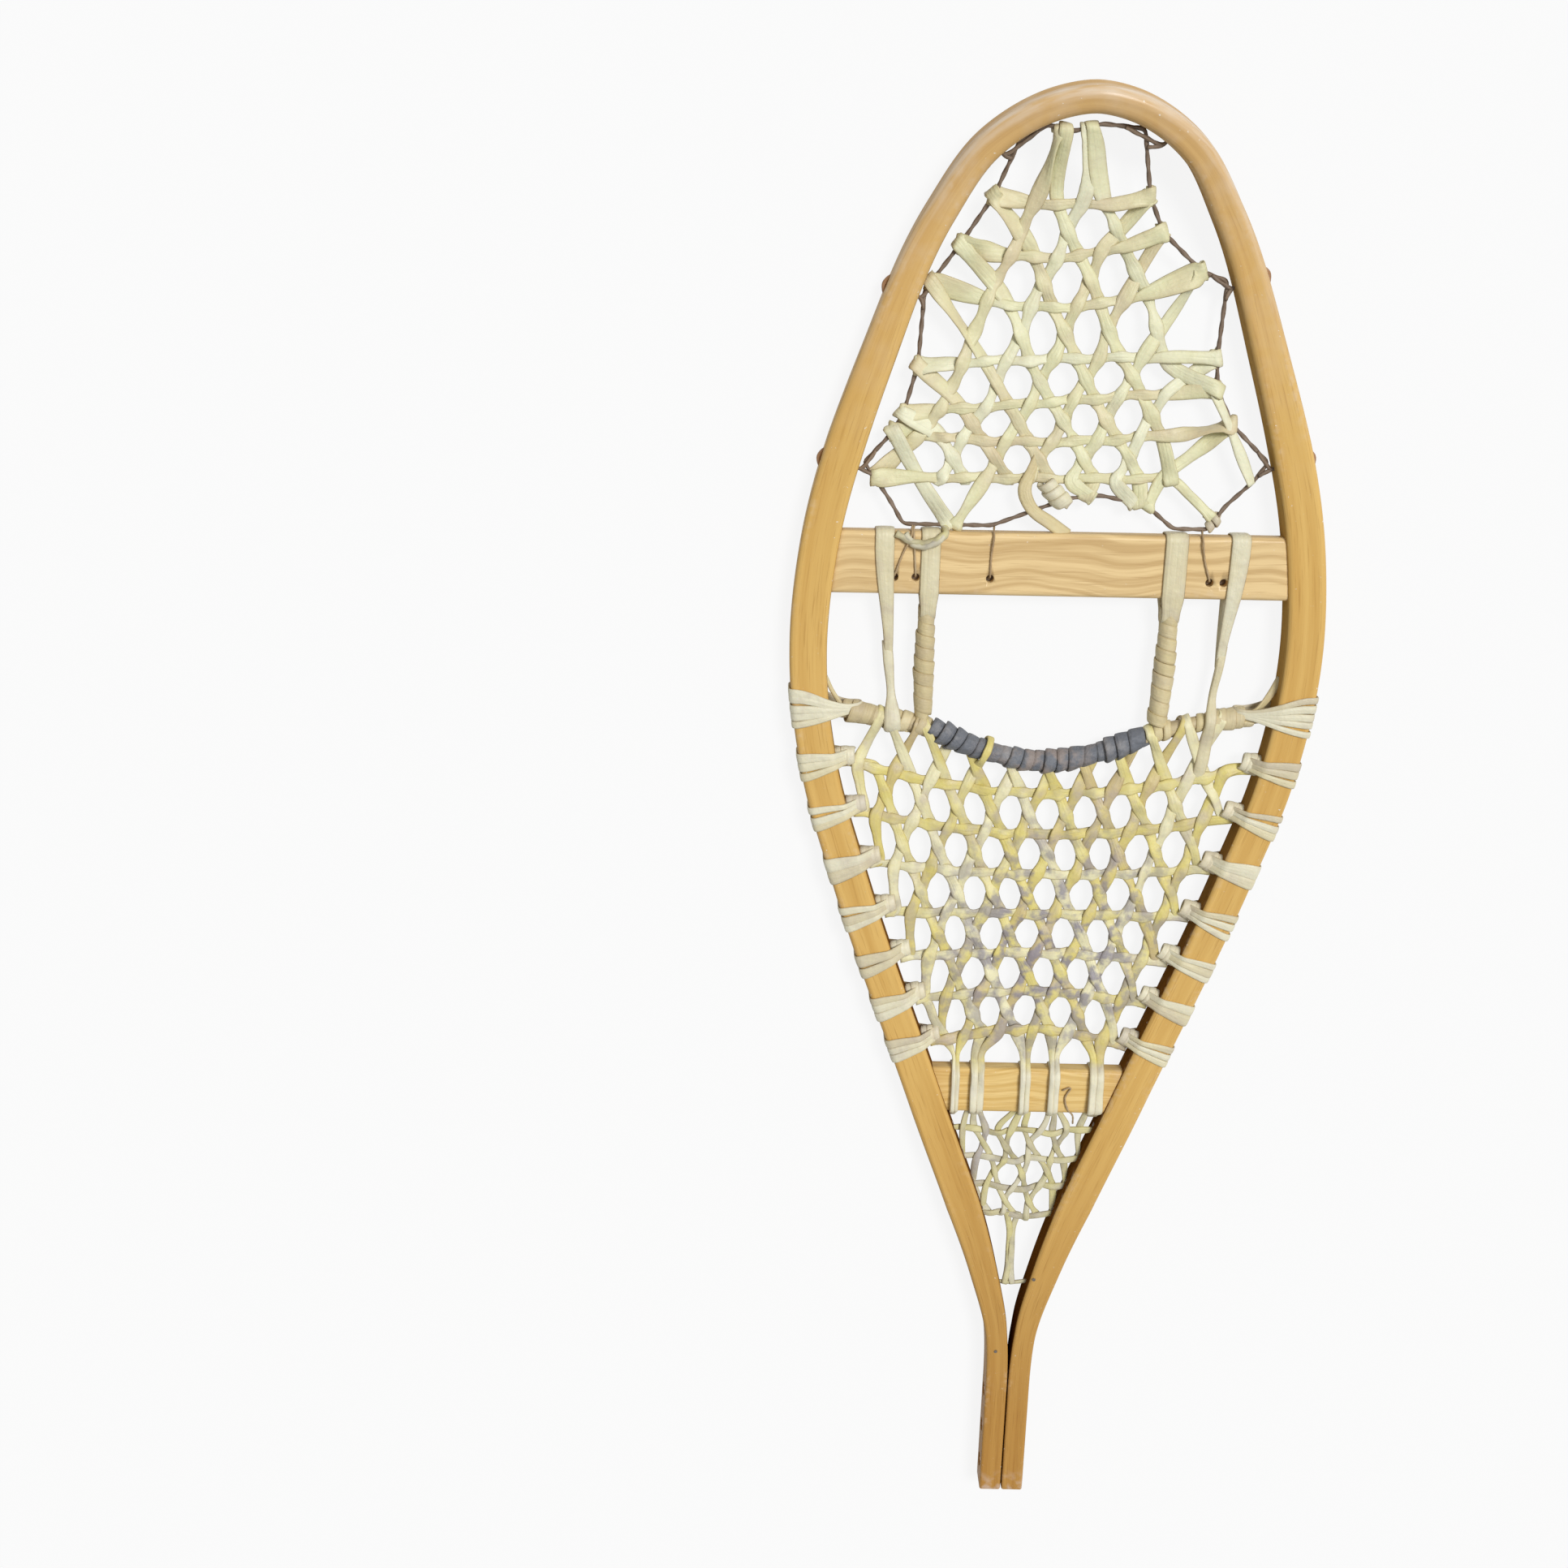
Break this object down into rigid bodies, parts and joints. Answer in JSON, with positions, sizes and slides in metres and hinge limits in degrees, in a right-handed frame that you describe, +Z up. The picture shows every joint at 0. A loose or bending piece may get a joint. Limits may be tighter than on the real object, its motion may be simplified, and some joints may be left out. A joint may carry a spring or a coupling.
{
  "type": "wooden snowshoe",
  "caption": "Teardrop wooden snowshoe: a bent ash frame with a long tail, mortised crossbars and laced rawhide nets around an open toe hole.",
  "frame": {"origin": "on the ground under the middle of the shoe's length and width", "axes": "+X to the right seen from above, +Y towards the toe, +Z up"},
  "size_m": [0.3052, 0.8818, 0.0409],
  "materials": {
    "frame_wood": "varnished ash, worn edges",
    "crossbar_wood": "pale planed ash with fine grain",
    "rawhide_pale": "dry pale rawhide",
    "rawhide_aged": "yellowed rawhide with grey dirt",
    "cord_dark": "dark brown cord",
    "cord_slate": "slate grey weathered wrapping",
    "rivet_copper": "dull copper",
    "brad_steel": "dark steel"
  },
  "bodies": {
    "root": {"bent_frame": "frame_wood", "front_crossbar": "crossbar_wood", "rear_crossbar": "crossbar_wood", "tail_rivets": "rivet_copper", "rivet_washers": "rivet_copper", "tail_brads": "brad_steel", "toe_selvage_cord": "cord_dark", "selvage_anchors": "cord_dark", "toe_lacing": "rawhide_pale", "toe_lacing_knot": "rawhide_pale", "body_lacing": "rawhide_aged", "left_frame_wraps": "rawhide_pale", "right_frame_wraps": "rawhide_pale", "left_hitches": "rawhide_pale", "right_hitches": "rawhide_pale", "toe_cord": "rawhide_aged", "toe_cord_wrap": "cord_slate", "left_toe_cord_lashing": "rawhide_pale", "right_toe_cord_lashing": "rawhide_pale", "left_side_cord": "rawhide_aged", "right_side_cord": "rawhide_aged", "left_side_wrap": "rawhide_aged", "right_side_wrap": "rawhide_aged", "left_outer_strand": "rawhide_aged", "right_outer_strand": "rawhide_aged", "front_crossbar_loops": "rawhide_pale", "rear_crossbar_bands": "rawhide_pale", "heel_lacing": "rawhide_pale", "heel_anchors": "cord_dark", "heel_tail_strand": "rawhide_pale", "heel_tie": "rawhide_aged"}
  },
  "joints": []
}
